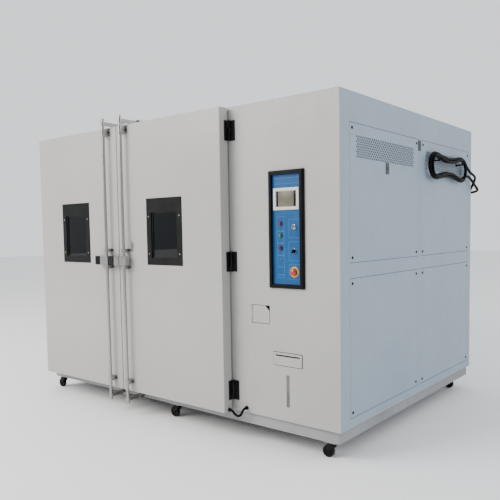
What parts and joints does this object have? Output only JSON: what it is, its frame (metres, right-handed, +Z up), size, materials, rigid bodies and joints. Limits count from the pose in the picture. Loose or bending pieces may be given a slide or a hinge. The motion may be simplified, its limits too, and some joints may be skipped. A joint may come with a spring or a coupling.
{
  "type": "environmental test chamber",
  "caption": "Walk-in climate test chamber on castors with insulated double doors, viewing windows, vertical lock rods, control panel, water drawer and hung mains cable.",
  "frame": {"origin": "on the floor, under the middle of the overall box without the mains cable", "axes": "+X to the right seen from the doors, along the longest side; -Y is the doors' side; +Z up"},
  "size_m": [2.954, 2.4132, 2.16],
  "materials": {
    "grey_paint": "powder coat",
    "plinth_paint": "powder coat",
    "foam": "matt",
    "stainless": "brushed",
    "zinc": "satin",
    "clear_plastic": "clear",
    "black_plastic": "fine grain",
    "blue_panel": "satin",
    "white_plastic": "fine grain",
    "switch_metal": "polished",
    "dark_fastener": "matt",
    "black_casting": "painted",
    "seal_rubber": "matt",
    "black_cable": "matt",
    "red_plastic": "gloss",
    "green_plastic": "gloss",
    "window_frame": "satin",
    "dark_glass": "tinted",
    "fan_metal": "satin",
    "tyre": "matt"
  },
  "bodies": {
    "root": {"base_frame": "plinth_paint", "outer_panels": "grey_paint", "front_frame": "grey_paint", "insulation": "foam", "inner_liner": "stainless", "control_front": "grey_paint", "service_box": "zinc", "sight_glass": "clear_plastic", "control_bezel": "black_plastic", "control_panel": "blue_panel", "display_unit": "white_plastic", "switch_collars": "switch_metal", "side_frame": "grey_paint", "lower_side_panels": "grey_paint", "upper_side_panels": "grey_paint", "panel_fasteners": "dark_fastener", "cabinet_fittings": "black_casting", "door_gasket": "seal_rubber", "cable_port": "stainless", "air_baffle": "stainless", "air_handler": "zinc", "refrigeration_unit": "black_casting", "door_cable": "black_cable", "mains_cable": "black_cable", "mains_cable_coil": "black_cable", "mains_cable_ends": "black_plastic"},
    "left_door": {"left_door_shell": "grey_paint", "left_door_core": "foam", "left_window_frame": "window_frame", "left_window_glass": "dark_glass", "left_door_fittings": "black_casting"},
    "left_lock": {"left_lock_rod": "zinc"},
    "right_door": {"right_door_shell": "grey_paint", "right_door_core": "foam", "right_window_frame": "window_frame", "right_window_glass": "dark_glass", "right_door_fittings": "black_casting"},
    "right_lock": {"right_lock_rod": "zinc"},
    "push_button_lower": {"push_button_lower": "red_plastic"},
    "push_button_middle": {"push_button_middle": "green_plastic"},
    "push_button_upper": {"push_button_upper": "red_plastic"},
    "key_switch": {"key_switch": "switch_metal"},
    "rotary_selector": {"rotary_selector": "black_plastic"},
    "estop_button": {"estop_button": "red_plastic"},
    "access_flap": {"access_flap": "grey_paint"},
    "water_drawer": {"water_drawer": "grey_paint"},
    "circulation_fan_left": {"circulation_fan_left": "fan_metal"},
    "circulation_fan_right": {"circulation_fan_right": "fan_metal"},
    "caster_fork_front_left": {"caster_fork_front_left": "black_casting"},
    "caster_wheel_front_left": {"caster_wheel_front_left": "tyre"},
    "caster_fork_front_middle": {"caster_fork_front_middle": "black_casting"},
    "caster_wheel_front_middle": {"caster_wheel_front_middle": "tyre"},
    "caster_fork_front_right": {"caster_fork_front_right": "black_casting"},
    "caster_wheel_front_right": {"caster_wheel_front_right": "tyre"},
    "caster_fork_rear_left": {"caster_fork_rear_left": "black_casting"},
    "caster_wheel_rear_left": {"caster_wheel_rear_left": "tyre"},
    "caster_fork_rear_middle": {"caster_fork_rear_middle": "black_casting"},
    "caster_wheel_rear_middle": {"caster_wheel_rear_middle": "tyre"},
    "caster_fork_rear_right": {"caster_fork_rear_right": "black_casting"},
    "caster_wheel_rear_right": {"caster_wheel_rear_right": "tyre"}
  },
  "joints": [
    {"name": "left_door_hinge", "type": "hinge", "parent": "root", "child": "left_door", "pos_m": [-1.407, -0.9875, 1.137], "axis": [0, 0, 1], "range_deg": [-100, 0]},
    {"name": "left_lock_turn", "type": "hinge", "parent": "left_door", "child": "left_lock", "pos_m": [-0.4905, -1.1055, 1.13], "axis": [0, 0, 1], "range_deg": [0, 100]},
    {"name": "right_door_hinge", "type": "hinge", "parent": "root", "child": "right_door", "pos_m": [0.62, -0.9875, 1.137], "axis": [0, 0, 1], "range_deg": [0, 100], "deforming": ["door_cable"]},
    {"name": "right_lock_turn", "type": "hinge", "parent": "right_door", "child": "right_lock", "pos_m": [-0.2965, -1.1055, 1.13], "axis": [0, 0, 1], "range_deg": [-100, 0]},
    {"name": "push_button_lower_travel", "type": "slide", "parent": "root", "child": "push_button_lower", "axis": [0, 1, 0], "range_m": [0, 0.005], "stiffness_N_per_m": 300, "springref_m": -0.002},
    {"name": "push_button_middle_travel", "type": "slide", "parent": "root", "child": "push_button_middle", "axis": [0, 1, 0], "range_m": [0, 0.005], "stiffness_N_per_m": 300, "springref_m": -0.002},
    {"name": "push_button_upper_travel", "type": "slide", "parent": "root", "child": "push_button_upper", "axis": [0, 1, 0], "range_m": [0, 0.005], "stiffness_N_per_m": 300, "springref_m": -0.002},
    {"name": "key_switch_turn", "type": "hinge", "parent": "root", "child": "key_switch", "pos_m": [1.101, -0.9785, 1.349], "axis": [0, 1, 0], "range_deg": [0, 90]},
    {"name": "rotary_selector_turn", "type": "hinge", "parent": "root", "child": "rotary_selector", "pos_m": [1.101, -0.9785, 1.208], "axis": [0, 1, 0], "range_deg": [-45, 45]},
    {"name": "estop_travel", "type": "slide", "parent": "root", "child": "estop_button", "axis": [0, 1, 0], "range_m": [0, 0.006], "stiffness_N_per_m": 400, "springref_m": -0.002},
    {"name": "access_flap_hinge", "type": "hinge", "parent": "root", "child": "access_flap", "pos_m": [0.7735, -0.9785, 0.817], "axis": [0, 0, 1], "range_deg": [-110, 0]},
    {"name": "water_drawer_slide", "type": "slide", "parent": "root", "child": "water_drawer", "axis": [0, -1, 0], "range_m": [0, 0.15]},
    {"name": "circulation_fan_left_spin", "type": "hinge", "parent": "root", "child": "circulation_fan_left", "pos_m": [-0.8535, 0.7095, 1.665], "axis": [0, 1, 0], "continuous": true},
    {"name": "circulation_fan_right_spin", "type": "hinge", "parent": "root", "child": "circulation_fan_right", "pos_m": [0.0065, 0.7095, 1.665], "axis": [0, 1, 0], "continuous": true},
    {"name": "caster_swivel_front_left", "type": "hinge", "parent": "root", "child": "caster_fork_front_left", "pos_m": [-1.387, -0.9095, 0.09], "axis": [0, 0, 1], "continuous": true},
    {"name": "caster_roll_front_left", "type": "hinge", "parent": "caster_fork_front_left", "child": "caster_wheel_front_left", "pos_m": [-1.417, -0.9095, 0.036], "axis": [0, 1, 0], "continuous": true},
    {"name": "caster_swivel_front_middle", "type": "hinge", "parent": "root", "child": "caster_fork_front_middle", "pos_m": [0.025, -0.9095, 0.09], "axis": [0, 0, 1], "continuous": true},
    {"name": "caster_roll_front_middle", "type": "hinge", "parent": "caster_fork_front_middle", "child": "caster_wheel_front_middle", "pos_m": [-0.005, -0.9095, 0.036], "axis": [0, 1, 0], "continuous": true},
    {"name": "caster_swivel_front_right", "type": "hinge", "parent": "root", "child": "caster_fork_front_right", "pos_m": [1.313, -0.9095, 0.09], "axis": [0, 0, 1], "continuous": true},
    {"name": "caster_roll_front_right", "type": "hinge", "parent": "caster_fork_front_right", "child": "caster_wheel_front_right", "pos_m": [1.283, -0.9095, 0.036], "axis": [0, 1, 0], "continuous": true},
    {"name": "caster_swivel_rear_left", "type": "hinge", "parent": "root", "child": "caster_fork_rear_left", "pos_m": [-1.387, 0.9905, 0.09], "axis": [0, 0, 1], "continuous": true},
    {"name": "caster_roll_rear_left", "type": "hinge", "parent": "caster_fork_rear_left", "child": "caster_wheel_rear_left", "pos_m": [-1.417, 0.9905, 0.036], "axis": [0, 1, 0], "continuous": true},
    {"name": "caster_swivel_rear_middle", "type": "hinge", "parent": "root", "child": "caster_fork_rear_middle", "pos_m": [0.025, 0.9905, 0.09], "axis": [0, 0, 1], "continuous": true},
    {"name": "caster_roll_rear_middle", "type": "hinge", "parent": "caster_fork_rear_middle", "child": "caster_wheel_rear_middle", "pos_m": [-0.005, 0.9905, 0.036], "axis": [0, 1, 0], "continuous": true},
    {"name": "caster_swivel_rear_right", "type": "hinge", "parent": "root", "child": "caster_fork_rear_right", "pos_m": [1.313, 0.9905, 0.09], "axis": [0, 0, 1], "continuous": true},
    {"name": "caster_roll_rear_right", "type": "hinge", "parent": "caster_fork_rear_right", "child": "caster_wheel_rear_right", "pos_m": [1.283, 0.9905, 0.036], "axis": [0, 1, 0], "continuous": true}
  ]
}
